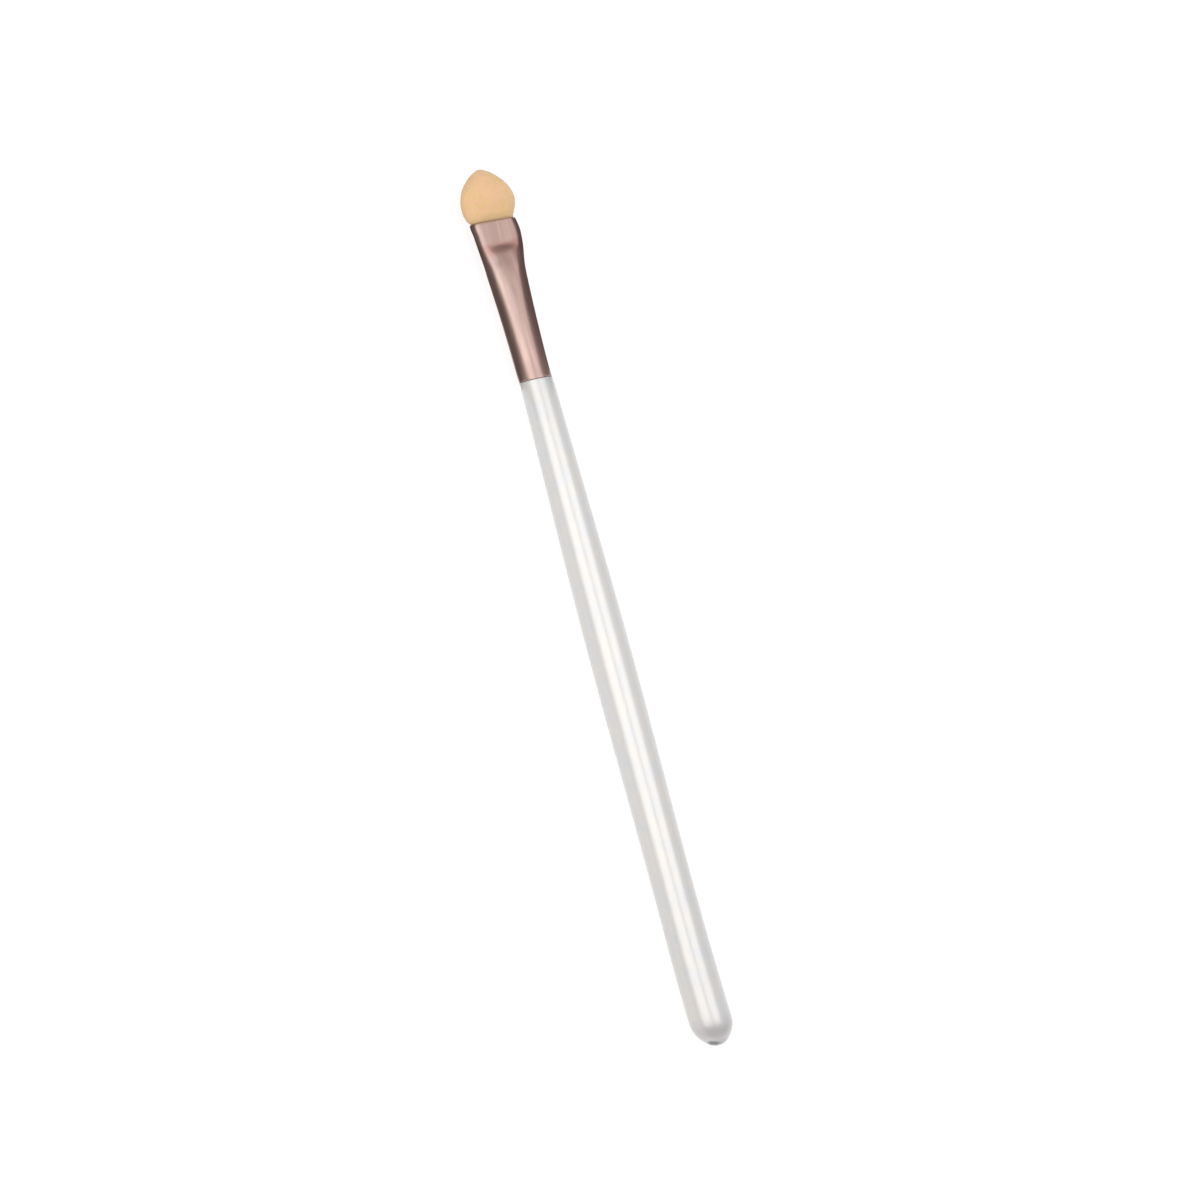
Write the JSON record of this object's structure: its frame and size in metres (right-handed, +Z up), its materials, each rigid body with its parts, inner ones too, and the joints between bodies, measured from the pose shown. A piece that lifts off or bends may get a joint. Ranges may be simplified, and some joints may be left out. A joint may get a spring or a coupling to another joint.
{
  "type": "sponge-tip eyeshadow applicator",
  "caption": "Slim applicator with a pointed-oval foam tip, a metal ferrule pressed flat at the foam, and a long turned handle with a rounded butt.",
  "frame": {"origin": "under the middle of the tool's length, on the surface that its handle lies on: the bottom centre of the bounding box", "axes": "+Y along the tool from the handle's butt to the foam tip; +Z up, out of the front face of the foam and of the ferrule's front land; +X across the foam's width"},
  "size_m": [0.0096, 0.15, 0.007],
  "materials": {
    "handle_lacquer": "gloss",
    "ferrule_metal": "satin",
    "foam": "matte",
    "core_plastic": "satin",
    "adhesive": "satin"
  },
  "bodies": {
    "root": {"handle": "handle_lacquer", "ferrule": "ferrule_metal", "sponge_front": "foam", "sponge_back": "foam", "applicator_core": "core_plastic", "throat_adhesive": "adhesive", "tenon_adhesive": "adhesive"}
  },
  "joints": []
}
